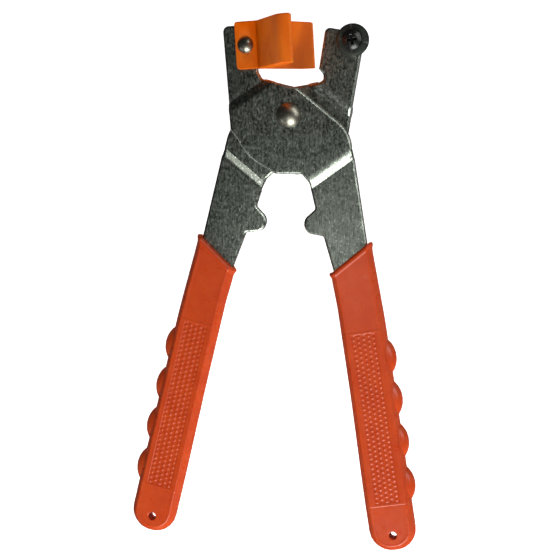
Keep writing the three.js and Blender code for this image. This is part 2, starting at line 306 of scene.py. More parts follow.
def red_grip():
    """Dipped soft vinyl: glossy, with painted shade darkening its hollows."""
    s = Shader("red_grip_vinyl", Roughness=0.31, IOR=1.5, Subsurface_Weight=0.2,
               Subsurface_Scale=0.0015, Specular_IOR_Level=0.45)
    s.bsdf.inputs["Subsurface Radius"].default_value = (1.0, 0.25, 0.1)
    tone = s.ramp(s.noise(9.0, 3), 0.35, 0.65)
    color = s.mix(tone, (0.51, 0.050, 0.007), (0.57, 0.064, 0.009))
    # painted shade: concave spots, found from low pointiness, are darkened towards deep red
    hollow = s.math("SUBTRACT", 1.0, s.edges(0.44, 0.5))
    color = s.mix(s.math("MULTIPLY", hollow, 0.5), color, (0.33, 0.03, 0.01))
    s.feed("Base Color", color)
    s.feed("Roughness", s.ramp(s.noise(2.5, 4, 0.6), 0.3, 0.7, 0.25, 0.37))
    skin = s.bump(s.noise(0.3, 3), 0.012, 0.35)
    s.feed("Normal", s.bump(s.noise(4.0, 2), 0.08, 0.25, skin))
    return s.material


ZINC = zinc_plate()
HARDWARE = plated_hardware()
RIVET = bright_rivet()
WHEEL = wheel_steel()
BLACK = black_screw()
ORANGE = orange_plastic()
RED = red_grip()


# ----------------------------------------------------------------- levers

# Each hub plate's middle lies HUB_MID off the tool's middle plane, and its jaw
# and arm step back by STEP. No bend starts within HUB_FLAT of the pivot.
PLATE_T = 2.8
STEP = 1.45
HUB_MID = 1.45
HUB_FLAT = 4
BEND_R, SOFT_R = 0.38, 0.8
STRAIGHT_DEG = 0.4
BEND_CUTS = 22
CUT_BEFORE, CUT_AFTER = 0.8, 0.4


def edge_loops(bm):
    """Outlines of the flattened plate's upper face, as lists of points."""
    following = {}
    for face in bm.faces:
        if face.normal.z < 0.5:
            continue
        for loop in face.loops:
            other = [f for f in loop.edge.link_faces if f is not face]
            if other and other[0].normal.z < 0.5:
                following[loop.vert] = loop.link_loop_next.vert
    loops = []
    while following:
        start, vert = following.popitem()
        points = [start.co.xy]
        while vert in following:
            points.append(vert.co.xy)
            vert = following.pop(vert)
        loops.append(points)
    return loops


def without_straight_points(points):
    """The outline without the points where it hardly turns."""
    kept = []
    n = len(points)
    for i, point in enumerate(points):
        before = (point - points[i - 1]).normalized()
        after = (points[(i + 1) % n] - point).normalized()
        if abs(before.cross(after)) > math.sin(math.radians(STRAIGHT_DEG)):
            kept.append(point)
    return kept


def inset(points, depth):
    """The closed outline moved to its left by depth, corners mitred."""
    moved = []
    n = len(points)
    for i, point in enumerate(points):
        before = (point - points[i - 1]).normalized()
        after = (points[(i + 1) % n] - point).normalized()
        left = Vector((-before.y, before.x)) + Vector((-after.y, after.x))
        left.normalize()
        spread = max(left.dot(Vector((-after.y, after.x))), 0.35)
        moved.append(point + left * (depth / spread))
    return moved


def rounding(width, height, steps=4):
    """[(inset, depth)] of an eased edge, from the wall to the face."""
    angles = [math.pi / 2 * i / steps for i in range(steps + 1)]
    return [(width * (1 - math.cos(a)), height * (1 - math.sin(a))) for a in angles]


def rolled_edge(z0, z1, low, high):
    """[(inset, z)] from the lower face's rim to the upper face's."""
    rings = [(inset, z0 + depth) for inset, depth in reversed(low)]
    return rings + [(inset, z1 - depth) for inset, depth in high]


def join_rings(bm, low, high):
    """Faces between two closed rings of as many vertices."""
    n = len(low)
    for i in range(n):
        j = (i + 1) % n
        bm.faces.new((low[i], low[j], high[j], high[i]))


def plate(loops, rings):
    """A slab with these outlines, its rim following rings."""
    bm = bmesh.new()
    caps = ([], [])
    for points in loops:
        rows = []
        for depth, z in rings:
            rows.append([bm.verts.new((p.x, p.y, z)) for p in inset(points, depth)])
        for low, high in zip(rows, rows[1:]):
            join_rings(bm, low, high)
        for cap, row in zip(caps, (rows[0], rows[-1])):
            cap += [bm.edges.get((a, b)) for a, b in zip(row, row[1:] + row[:1])]
    for cap in caps:
        bmesh.ops.triangle_fill(bm, use_beauty=True, use_dissolve=False, edges=cap)
    return bm


def bend_way(deg):
    return Vector((math.cos(math.radians(deg)), math.sin(math.radians(deg)), 0))


def bend_lag(width):
    """How much nearer the pivot the lower face's ramp starts than the upper's."""
    return PLATE_T * math.tan(math.atan2(STEP, width) / 2)


def fall(d, start, width, hub_r):
    """(height, slope) of the plate's middle at distance d, with the ramp's
    ends rounded: hub_r either side of its start, BEND_R at its end. Both are
    means over d - r to d + r, and area is the integral of ramp."""
    r = hub_r if d < start + width / 2 else BEND_R

    def area(x):
        x0 = min(max(x, start), start + width)
        height = HUB_MID * min(x, start)
        height += HUB_MID * (x0 - start) - STEP * (x0 - start) ** 2 / (2 * width)
        return height + (HUB_MID - STEP) * max(x - start - width, 0)

    def ramp(x):
        return HUB_MID - STEP * min(max((x - start) / width, 0), 1)

    low, high = d - r, d + r
    return (area(high) - area(low)) / (2 * r), (ramp(high) - ramp(low)) / (2 * r)


def bent(co, steps):
    """Where a point of the flat plate goes when it is bent."""
    for deg, start, width, hub_r in steps:
        way = bend_way(deg)
        d = co.dot(way)
        if d > HUB_FLAT:
            height, slope = fall(d, start - bend_lag(width) / 2, width, hub_r)
            normal = (Vector((0, 0, 1)) - way * slope).normalized()
            flat = Vector((co.x, co.y, height))
            return flat + normal * co.z
    return co + Vector((0, 0, HUB_MID))


def level_of(co, steps):
    """+1 on the CAD plate's upper face, -1 on its lower face."""
    best = None
    for deg, start, width, _ in steps:
        d = co.dot(bend_way(deg))
        if d > HUB_FLAT:
            into = d - start
            top = HUB_MID + PLATE_T / 2 - STEP * min(max(into / width, 0), 1)
            low = HUB_MID - PLATE_T / 2 - STEP * min(max((into + bend_lag(width)) / width, 0), 1)
            best = 1 if abs(co.z - top) < abs(co.z - low) else -1
    if best is None:
        best = 1 if co.z > HUB_MID else -1
    return best


def lever(name, node, body, steps, face_up):
    """The CAD lever again, with rolled edges and rounded bends. It is worked
    in the lever's own frame: jaw at -X, hub above the middle plane."""
    own = AT_MID if face_up else AT_MID @ TO_BACK
    bm = bmesh.new()
    bm.from_mesh(nodes[node].data)
    bmesh.ops.transform(bm, matrix=Matrix.Scale(1 / MM, 4) @ own.inverted(), verts=bm.verts)
    for vert in bm.verts:
        vert.co.z = level_of(vert.co, steps) * PLATE_T / 2
    bmesh.ops.remove_doubles(bm, verts=bm.verts, dist=0.004)
    bmesh.ops.recalc_face_normals(bm, faces=bm.faces)
    loops = [without_straight_points(points) for points in edge_loops(bm)]
    bm.free()

    # the punch rolls the face's edge over; the far edge stays nearly sharp
    face = [(0, 0.62), (0.03, 0.50), (0.09, 0.40), (0.18, 0.33), (0.56, 0.11), (0.66, 0.04), (0.78, 0)]
    burr = rounding(0.18, 0.16, 2)
    low, high = (burr, face) if face_up else (face, burr)
    bm = plate(loops, rolled_edge(-PLATE_T / 2, PLATE_T / 2, low, high))
    for deg, start, width, hub_r in steps:
        way = bend_way(deg)
        first, last = start - hub_r - CUT_BEFORE, start + width + BEND_R + CUT_AFTER
        for i in range(BEND_CUTS + 1):
            at = way * (first + (last - first) * i / BEND_CUTS)
            geom = [*bm.verts, *bm.edges, *bm.faces]
            bmesh.ops.bisect_plane(bm, geom=geom, dist=1e-4, plane_co=at, plane_no=way)
    bmesh.ops.triangulate(bm, faces=[f for f in bm.faces if len(f.verts) > 4])
    for vert in bm.verts:
        vert.co = bent(vert.co, steps)
    bmesh.ops.transform(bm, matrix=own @ Matrix.Scale(MM, 4), verts=bm.verts)
    bmesh.ops.dissolve_degenerate(bm, dist=4e-6, edges=bm.edges)
    piece = from_bmesh(name, bm, ZINC, 40)
    weigh_normals(piece)
    stand_in(piece, node, body)


# bends of jaw and arm: direction, start, width, rounding on the hub side
FRONT_STEPS = ((126, 13.4, 2.8, BEND_R), (-52.3, 23.9, 3.3, SOFT_R))
REAR_STEPS = ((123.7, 13.2, 2.8, BEND_R), (-52.3, 25.9, 2.6, BEND_R))
lever("front_lever_plate", "front_lever", "front", FRONT_STEPS, True)
lever("rear_lever_plate", "rear_lever", "rear", REAR_STEPS, False)


# ----------------------------------------------------------- turned parts

def rounded_path(corners, closed=False, deg_per_step=12):
    """[(x, y, fillet)] corners as points, the fillets as short chords."""
    points = []
    n = len(corners)
    for i, (x, y, r) in enumerate(corners):
        corner = Vector((x, y))
        if r == 0 or (not closed and i in (0, n - 1)):
            points.append(corner)
            continue
        back = (Vector(corners[i - 1][:2]) - corner).normalized()
        on = (Vector(corners[(i + 1) % n][:2]) - corner).normalized()
        half = back.angle(on) / 2
        turn = math.pi - 2 * half
        centre = corner + (back + on).normalized() * (r / math.sin(half))
        start = corner + back * (r / math.tan(half)) - centre
        steps = max(2, math.ceil(math.degrees(turn) / deg_per_step))
        sign = 1 if back.cross(on) < 0 else -1
        for k in range(steps + 1):
            points.append(centre + Matrix.Rotation(sign * turn * k / steps, 2) @ start)
    return points


def lathe(name, path, material, place, segments=72, radius_at=None, sharp_deg=32):
    """Turns path, a closed loop of (radius, z), about Z."""
    bm = bmesh.new()
    rows = []
    for r, z in path:
        if r < 1e-6:
            rows.append([bm.verts.new((0, 0, z))])
            continue
        row = []
        for i in range(segments):
            a = 2 * math.pi * i / segments
            reach = radius_at(r, z, a) if radius_at else r
            row.append(bm.verts.new((reach * math.cos(a), reach * math.sin(a), z)))
        rows.append(row)
    for low, high in zip(rows, rows[1:] + rows[:1]):
        for i in range(segments):
            j = (i + 1) % segments
            corners = [low[i % len(low)], low[j % len(low)], high[j % len(high)], high[i % len(high)]]
            corners = list(dict.fromkeys(corners))
            if len(corners) > 2:
                bm.faces.new(corners)
    bmesh.ops.transform(bm, matrix=place @ Matrix.Scale(MM, 4), verts=bm.verts)
    return from_bmesh(name, bm, material, sharp_deg)


def dome(r, h, z):
    """Corners of a dome from its rim, radius r at z, to its top, h above."""
    steps = 14
    ball = (r * r + h * h) / (2 * h)
    full = math.asin(r / ball)
    points = []
    for i in range(steps + 1):
        a = full * (1 - i / steps)
        points.append((ball * math.sin(a), z + h - ball * (1 - math.cos(a)), 0))
    return points


HUB_TOP = HUB_MID + PLATE_T / 2
FACE_Z = PLATE_T / 2
TAB_FACE = 3.5
SMALL_HOLE_R = 2.05

PIVOT_R, PIVOT_HEAD_R = 3.2, 4.8
washer_low = -HUB_TOP - 1.0
tail_z = washer_low - 2.0
pivot_profile = [
    (0, tail_z, 0), (4.1, tail_z, 0.1), (4.7, tail_z + 0.7, 0.6), (4.7, washer_low, 0.15),
    (PIVOT_R, washer_low, 0), (PIVOT_R, HUB_TOP, 0), (PIVOT_HEAD_R, HUB_TOP, 0.12),
    *dome(PIVOT_HEAD_R, 2.3, HUB_TOP)[1:],
]
rivet = lathe("pivot_rivet_head", rounded_path(pivot_profile), RIVET, AT_MID, 96)
stand_in(rivet, "pivot_rivet", "front")


def washer(name, node, body, inner, outer, z0, z1, place, ease=0.16):
    """A ring from z0 to z1, its rims eased by ease, its bore by half that."""
    loop = [(inner, z0, ease / 2), (outer, z0, ease), (outer, z1, ease), (inner, z1, ease / 2)]
    made = lathe(name, rounded_path(loop, True, 30), HARDWARE, place)
    stand_in(made, node, body)


washer("pivot_washer_ring", "pivot_washer", "front", 3.25, 6.2, washer_low, -HUB_TOP, AT_MID)

# -------------------------------------------------------- breaker and rivet

BREAKER_TURN = AT_MID @ Matrix.Rotation(math.radians(5.9), 4, "Z")
BREAKER_TOP, BREAKER_LENGTH = 35.5, 17.6
TAB_OUT, TAB_TOP_R, TAB_LOW_R = 18.5, 0.9, 1.5
WING_SPAN = 28.0
RIVET_AT = BREAKER_TURN @ Matrix.Translation((-14.6 * MM, 26.7 * MM, 0))

# the section's front half: across, height, fillet
slot_z = FACE_Z + 0.05
half_section = [
    (-10.95, slot_z, 0.05), (-TAB_OUT, slot_z, 0.3), (-TAB_OUT, TAB_FACE, 0.55), (-10.3, TAB_FACE, 0.5),
    (1.9, WING_SPAN, 4.0), (6.4, WING_SPAN, 0.3), (6.4, 24.0, 0.3), (-4.4, 2.4, 1.2), (-5.0, 1.0, 1.2),
]


def breaker_end(u, at_top):
    """Where the breaker ends along its length, u across it: the tab's outer
    corners are rounded."""
    r = TAB_TOP_R if at_top else TAB_LOW_R
    end = BREAKER_TOP if at_top else BREAKER_TOP - BREAKER_LENGTH
    into = max(0.0, min(r, r - (u + TAB_OUT)))
    bite = r - math.sqrt(max(r * r - into * into, 0.0))
    return end - bite if at_top else end + bite


def breaker():
    """The section drawn along the jaw, its points close together on the tab,
    where breaker_end rounds the corners."""
    dense_out, spacing, through = 14, 0.4, 9
    corners = half_section + [(u, -z, r) for u, z, r in reversed(half_section)]
    outline = rounded_path(corners, True, 15)
    dense = []
    for i, point in enumerate(outline):
        to = outline[(i + 1) % len(outline)]
        dense.append(point)
        if min(point.x, to.x) < -dense_out:
            parts = max(1, round((to - point).length / spacing))
            dense += [point.lerp(to, k / parts) for k in range(1, parts)]
    if sum(a.cross(b) for a, b in zip(dense, dense[1:] + dense[:1])) < 0:
        dense.reverse()
    eased = rounding(0.5, 0.5)
    rings = rolled_edge(0, 1, eased, eased)
    bm = plate([dense], rings)
    for vert in bm.verts:
        u, z, t = vert.co
        # the wall's two rings are both at 0.5 and both belong to the top
        at_top = t >= 0.5
        vert.co = (u, breaker_end(u, at_top) + (t - 1 if at_top else t), z)
    bmesh.ops.transform(bm, matrix=BREAKER_TURN @ Matrix.Scale(MM, 4), verts=bm.verts)
    bore = [(0, -through), (SMALL_HOLE_R, -through), (SMALL_HOLE_R, through), (0, through)]
    hole = lathe("hole_cutter", bore, ORANGE, RIVET_AT, 48)
    piece = from_bmesh("breaker_jaw_block", bm, ORANGE, 40)
    carve(piece, [hole])
    weigh_normals(piece)
    stand_in(piece, "breaker_jaw", "front")


breaker()

WASHER_T = 0.8
SHANK_R, SMALL_HEAD_R = 2.0, 3.1
tail_top = -(TAB_FACE + WASHER_T)
small_profile = [
    (0, tail_top - 1.2, 0), (2.5, tail_top - 1.2, 0.1), (2.9, tail_top - 0.7, 0.4),
    (2.9, tail_top, 0.1), (SHANK_R, tail_top, 0), (SHANK_R, TAB_FACE, 0), (SMALL_HEAD_R, TAB_FACE, 0.1),
    *dome(SMALL_HEAD_R, 1.6, TAB_FACE)[1:],
]
small = lathe("breaker_rivet_head", rounded_path(small_profile), RIVET, RIVET_AT)
stand_in(small, "breaker_rivet", "front")
washer("breaker_washer_ring", "breaker_rivet_washer", "front", SMALL_HOLE_R, 3.9,
       tail_top, -TAB_FACE, RIVET_AT)

# ---------------------------------------------------------- scoring wheel

AXLE_AT = AT_MID @ Matrix.Translation((22.6 * MM, 28.3 * MM, 0))
WHEEL_T, WHEEL_PLAY = 2.0, 0.1
WHEEL_BORE, WHEEL_FLANK, WHEEL_RIM = 3.05, 5.35, 6.1
washer_top = FACE_Z + WASHER_T
wheel_low = washer_top + WHEEL_PLAY
wheel_top = wheel_low + WHEEL_T
seat = wheel_top + WHEEL_PLAY
nut_top = -washer_top

wheel_loop = [
    (WHEEL_BORE, wheel_low, 0.15), (4.3, wheel_low, 0), (WHEEL_FLANK, wheel_low, 0.1),
    (WHEEL_RIM, wheel_low + WHEEL_T / 2, 0.04), (WHEEL_FLANK, wheel_top, 0.1), (WHEEL_BORE, wheel_top, 0.15),
]
wheel = lathe("scoring_wheel_disc", rounded_path(wheel_loop, True, 30), WHEEL, AXLE_AT, 128, sharp_deg=24)
stand_in(wheel, "scoring_wheel", "wheel")
washer("wheel_bush_sleeve", "wheel_bush", "rear", SMALL_HOLE_R, 2.95, washer_top, seat, AXLE_AT, 0.1)
washer("wheel_washer_ring", "wheel_washer", "rear", SMALL_HOLE_R, 4.2, FACE_Z, washer_top, AXLE_AT)


def lock_washer():
    """A split ring: its two ends face each other across a slanted gap."""
    z0, z1 = nut_top, -FACE_Z
    loop = rounded_path([(SMALL_HOLE_R, z0, 0.08), (3.6, z0, 0.14), (3.6, z1, 0.14),
                         (SMALL_HOLE_R, z1, 0.08)], True, 30)
    bm = bmesh.new()
    rows = []
    gap, lean, parts = math.radians(9), math.radians(7), 64
    for i in range(parts + 1):
        row = []
        for r, z in loop:
            a = gap / 2 + (2 * math.pi - gap) * i / parts + lean * (z - z0 - WASHER_T / 2)
            row.append(bm.verts.new((r * math.cos(a), r * math.sin(a), z)))
        rows.append(row)
    for one, two in zip(rows, rows[1:]):
        join_rings(bm, one, two)
    bm.faces.new(rows[0])
    bm.faces.new(rows[-1])
    bmesh.ops.transform(bm, matrix=AXLE_AT @ Matrix.Scale(MM, 4), verts=bm.verts)
    ring = from_bmesh("wheel_lock_washer_ring", bm, HARDWARE)
    stand_in(ring, "wheel_lock_washer", "rear")


lock_washer()


def across_hexagon(a, flats):
    sixth = math.pi / 3
    return flats / 2 / math.cos((a % sixth) - sixth / 2)


def nut():
    """A hexagon nut, both faces chamfered to a circle."""
    z1 = nut_top
    z0 = z1 - 3.2
    flats, bore = 7.0, SMALL_HOLE_R
    corner = flats / math.sqrt(3)
    face_r, chamfer, lead, rings = flats / 2 - 0.1, 0.5, 0.3, 4
    path = [(bore + lead, z0), (face_r, z0)]
    path += [(corner, z0 + chamfer * k / rings) for k in range(1, rings + 1)]
    path += [(corner, z1 - chamfer * (1 - k / rings)) for k in range(rings)]
    path += [(face_r, z1), (bore + lead, z1), (bore, z1 - lead), (bore, z0 + lead)]

    def reach(r, z, a):
        if r < corner - 0.01:
            return r
        depth = min(z - z0, z1 - z)
        cone = face_r + depth / chamfer * (corner + 0.02 - face_r)
        return min(across_hexagon(a, flats), cone)

    made = lathe("wheel_hex_nut", path, HARDWARE, AXLE_AT, 144, reach, 24)
    weigh_normals(made)
    stand_in(made, "wheel_nut", "rear")


nut()


def screw():
    """Pan head with a cross recess, and a threaded shank down to the tip."""
    tip = seat - 11.9
    pitch, depth, taper = 0.7, 0.28, 0.3
    row_step = pitch / 8
    thread_top = nut_top - 0.4
    path = [(0, tip), (1.5, tip)]
    rows = int((thread_top - tip - taper) / row_step)
    path += [(SHANK_R, tip + taper + row_step * i) for i in range(rows + 1)]
    path += [(SHANK_R, thread_top + 0.1), (SHANK_R, seat)]
    head_r, top = 3.75, seat + 2.5
    head = [(SHANK_R, seat, 0), (head_r, seat, 0.3), (head_r, top - 1.2, 0.5)]
    head += dome(head_r - 0.3, 1.1, top - 1.1)[1:]
    path += [tuple(p) for p in rounded_path(head)[1:]]

    def reach(r, z, a):
        if abs(r - SHANK_R) > 1e-6 or z > thread_top + 0.05:
            return r
        phase = ((z - tip) / pitch - a / (2 * math.pi)) % 1
        cut = depth * (1 - abs(2 * phase - 1)) * smoothstep((thread_top - z) / taper)
        return r - cut - 0.35 * (1 - smoothstep((z - tip - 0.2) / 0.5))

    body = lathe("wheel_pan_screw", path, BLACK, AXLE_AT, 96, reach)
    cutters = []
    for turn in (12, 102):
        bm = bmesh.new()
        one, two = (
            [bm.verts.new((i * x, j * y, z)) for i, j in ((-1, -1), (1, -1), (1, 1), (-1, 1))]
            for x, y, z in ((1.5, 0.33, top - 1.7), (2.15, 0.55, top + 0.3))
        )
        join_rings(bm, one, two)
        bm.faces.new(one[::-1])
        bm.faces.new(two)
        place = AXLE_AT @ Matrix.Rotation(math.radians(turn), 4, "Z") @ Matrix.Scale(MM, 4)
        bmesh.ops.transform(bm, matrix=place, verts=bm.verts)
        cutters.append(from_bmesh("recess_cutter_%d" % turn, bm, BLACK, 20))
    carve(body, cutters)
    stand_in(body, "wheel_screw", "rear")


screw()


# ------------------------------------------------------------------ grips

# Drawn along the handle: `across` runs away from the other handle and
# `along` away from the pivot.
HANDLE_ANGLE = math.radians(11.2)
GRIP_END, END_R = 166.75, 8.3
CAP_START = GRIP_END - END_R
SLOPE = 2.15
SLOPE_FALL = 1.5
CREASE_ROUND, OUTLINE_ROUND = 0.4, 1.0
FACE_H = 4.15
KNUCKLES = (94.0, 109.8, 125.8, 142.1)
KNUCKLE_AT, KNUCKLE_OUT, KNUCKLE_LONG, KNUCKLE_H = 20.0, 6.2, 7.9, 3.4
NO_BUMP = -9.0
PANEL = (83.2, 149.3)
SQUARE_FROM = 82
STRIP = 1.75
PIP_PITCH = 1.86
PIP_COLUMNS = 5
PIP_H, PANEL_DEPTH = 0.22, 0.17
HOLE_AT, HOLE_R, HOLE_EASE = Vector((15.3, 160.6)), 1.45, 0.3
LIP_TOP, LIP_FOOT = 1.45, 2.4
LIP_H, LIP_DROP = 0.24, 0.85
RIDGE_H, FRAME_H = 0.05, 0.10
TAPER, TAPER_START = 0.045, 150
# the hollow for the steel: its inner edge at the mouth and deeper down, its
# outer edge, where it gets narrower, half its thickness and its end
SLEEVE_MOUTH, SLEEVE_IN, SLEEVE_OUT = 7.55, 8.35, 21.55
SLEEVE_NARROWS = (60.0, 72.0)
SLEEVE_HALF, SLEEVE_END = 1.45, 154.1
CAP_ROWS = 18


def bell(x, width):
    return math.exp(-(x / width) ** 2)


def soft_max(a, b, r):
    return (a + b + math.sqrt((a - b) ** 2 + r * r)) / 2


class GripShape:
    """Where one grip's skin lies. inner and outer are its edges beside the
    panel, pull is how far the inner edge drifts inwards below that, and
    the mouth runs from mouth_in to mouth_out."""

    def __init__(self, inner, pull, outer, mouth_in, mouth_out):
        self.inner, self.pull, self.outer = inner, pull, outer
        self.mouth_in, self.mouth_out = Vector(mouth_in), Vector(mouth_out)
        run = self.mouth_out - self.mouth_in
        self.tilt = run.y / run.x
        self.mouth_mid = (self.mouth_in.y + self.mouth_out.y) / 2
        self.mouth_cos = math.cos(math.atan(self.tilt))

    def mouth_along(self, across):
        blunt = min(max(across, self.mouth_in.x + 1.0), self.mouth_out.x - 0.9)
        return self.mouth_in.y + self.tilt * (blunt - self.mouth_in.x)

    def along_of(self, m, across):
        """Rows lean with the mouth, and are square from SQUARE_FROM on."""
        lean = smoothstep((SQUARE_FROM - m) / (SQUARE_FROM - self.mouth_mid))
        return m + lean * (self.mouth_along(across) - self.mouth_mid)

    def edges(self, m):
        """(inner, outer) edge without the finger bumps, on row m."""
        lip = (m - self.mouth_mid) * self.mouth_cos
        flare = bell(lip - 0.6, 0.9)
        inner = self.inner - 0.5 * smoothstep((16 - lip) / 16) - 0.65 * flare
        inner -= self.pull * smoothstep((m - 100) / 50)
        outer = self.outer - 0.85 * smoothstep((24 - lip) / 24) + 0.45 * flare
        return inner, outer

    def crease(self, m):
        inner, outer = self.edges(m)
        return inner + SLOPE, outer - SLOPE

    def bump_reach(self, m):
        """How far the finger bumps stand out of the outer edge."""
        outer = self.edges(m)[1]
        reach = NO_BUMP
        for centre in KNUCKLES:
            left = 1 - ((m - centre) / KNUCKLE_LONG) ** 2
            if left > 0:
                reach = max(reach, KNUCKLE_AT + KNUCKLE_OUT * math.sqrt(left) - outer)
        return max(soft_max(reach, 0.0, 0.12) - 0.02, 0.0)

    def cap(self):
        """Middle, half of the straight stretch, and radius of the crease's
        rounded end."""
        inner, outer = self.crease(CAP_START)
        r = END_R - SLOPE
        return (inner + outer) / 2, max((outer - inner) / 2 - r, 0.0), r

    def side_distance(self, across, along, m):
        """Distance in from the crease."""
        inner, outer = self.crease(m)
        if along <= CAP_START:
            return min(across - inner, outer - across)
        mid, flat, r = self.cap()
        return r - math.hypot(max(0.0, abs(across - mid) - flat), along - CAP_START)

    def face_height(self, across, along, m):
        """Height of the face: lip, frame, panel and pips, hole and taper."""
        lip = (along - self.mouth_along(across)) * self.mouth_cos
        height = FACE_H
        if lip < LIP_TOP:
            height += LIP_H - LIP_DROP * (1 - max(lip, 0.0) / LIP_TOP) ** 2.4
        else:
            height += LIP_H * (1 - smoothstep((lip - LIP_TOP) / (LIP_FOOT - LIP_TOP)))
        side = self.side_distance(across, along, m)
        height += RIDGE_H * bell(side - 0.3, 0.35) * smoothstep((lip - 3) / 2)
        start, end = PANEL
        height += FRAME_H * smoothstep((along - start) / 0.3) * smoothstep((end - along) / 0.3)
        inner, outer = self.crease(m)
        inner, outer = inner + STRIP, outer - STRIP
        ease = 0.35
        sunk = smoothstep((across - inner) / ease) * smoothstep((outer - across) / ease)
        sunk *= smoothstep((along - start - 0.9) / ease) * smoothstep((end - 0.9 - along) / ease)
        if sunk > 0:
            offset = across - (inner + outer) / 2
            raised = 0.0
            if abs(offset) < PIP_COLUMNS / 2 * PIP_PITCH:
                raised = pip_height(offset + PIP_COLUMNS / 2 * PIP_PITCH, along - start)
            height += sunk * (PIP_H * raised - PANEL_DEPTH)
        hole = (Vector((across, along)) - HOLE_AT).length - HOLE_R
        if hole < HOLE_EASE:
            height -= HOLE_EASE * (1 - math.sqrt(1 - (1 - max(hole, 0) / HOLE_EASE) ** 2))
        return height - TAPER * max(0.0, along - TAPER_START)

    def side_height(self, reach, edge, across, along, face):
        """Height of the side: reach is the distance out from the crease, edge
        the distance in from the outline without its bumps."""
        if reach < CREASE_ROUND:
            slope = face - SLOPE_FALL * reach * reach / (2 * CREASE_ROUND)
        else:
            slope = face - SLOPE_FALL * (reach - CREASE_ROUND / 2)
        rounded = min(max(edge, 0.0) / OUTLINE_ROUND, 1.0)
        slope *= math.sqrt(1 - (1 - rounded) ** 2)
        if across > KNUCKLE_AT:
            for centre in KNUCKLES:
                away = ((across - KNUCKLE_AT) / KNUCKLE_OUT) ** 2
                away += ((along - centre) / KNUCKLE_LONG) ** 2
                if away < 1:
                    slope = soft_max(slope, KNUCKLE_H * math.sqrt(1 - away), 0.1)
        return max(slope, 0.02)


def pip_height(across, along):
    """0 to 1 over the panel's staggered pips."""
    half_wide, half_long = 0.44, 0.42
    col = across / PIP_PITCH
    index = math.floor(col)
    row = along / PIP_PITCH + (0.5 if index % 2 else 0.0)
    u = (col - index - 0.5) / half_wide
    v = (row - math.floor(row) - 0.5) / half_long
    return smoothstep(1 - math.hypot(u, v))


def grip_rows(shape):
    """Row positions from the mouth to where the end starts to round."""
    lips = (0, 0.08, 0.2, 0.36, 0.56, 0.8, 1.05, 1.25, 1.38, 1.45, 1.52, 1.65, 1.8, 1.95, 2.1,
            2.25, 2.4, 2.6, 2.9, 3.4, 4.0)
    plain_step, panel_step, end_step = 0.7, 0.24, 0.5
    rows = [shape.mouth_mid + x / shape.mouth_cos for x in lips]
    while rows[-1] < PANEL[0] - 1.0:
        rows.append(rows[-1] + plain_step)
    rows[-1] = PANEL[0] - 0.4
    while rows[-1] < PANEL[1] + 0.4:
        rows.append(rows[-1] + panel_step)
    while rows[-1] < CAP_START - 0.6:
        rows.append(rows[-1] + end_step)
    return rows + [CAP_START]


def face_columns(shape):
    """Shares of the way across the face, close together at its creases."""
    width = shape.outer - shape.inner - 2 * SLOPE
    near = [0, 0.2, 0.45, 0.75, 1.1, 1.45]
    steps = 44
    inside = [STRIP + (width - 2 * STRIP) * i / steps for i in range(steps + 1)]
    return [x / width for x in near + inside + [width - x for x in reversed(near)]]


def put(bm, across, along, z):
    return bm.verts.new((across, -along, z))


def grip_faces(bm, shape, rows):
    """[(sign, rim, grid)] of the front and the back: grid is the face's rows
    of vertices, rim its edge from one corner of the mouth to the other."""
    cols = face_columns(shape)
    mid, flat, crease_r = shape.cap()

    def face_row(m, sign, t=0.0):
        inner, outer = shape.crease(m)
        made = []
        for share in cols:
            across = inner + (outer - inner) * share
            along = shape.along_of(m, across)
            dx = max(0.0, abs(across - mid) - flat)
            along += t * math.sqrt(max(crease_r ** 2 - dx ** 2, 0.0))
            made.append(put(bm, across, along, sign * shape.face_height(across, along, m)))
        return made

    n = len(rows)
    faces = []
    for sign in (1, -1):
        grid = [face_row(m, sign) for m in rows]
        ends = (grid[-1][0], grid[-1][-1])
        for k in range(1, CAP_ROWS + 1):
            row = face_row(CAP_START, sign, math.sin(math.pi / 2 * k / CAP_ROWS))
            for spare in (row[0], row[-1]):
                bm.verts.remove(spare)
            grid.append([ends[0], *row[1:-1], ends[1]])
        for low, high in zip(grid, grid[1:]):
            for i in range(len(cols) - 1):
                corners = list(dict.fromkeys((low[i], low[i + 1], high[i + 1], high[i])))
                bm.faces.new(corners)
        rim = [row[0] for row in grid[:n]] + grid[-1][1:-1] + [row[-1] for row in grid[n - 1::-1]]
        faces.append((sign, rim, grid))
    return faces


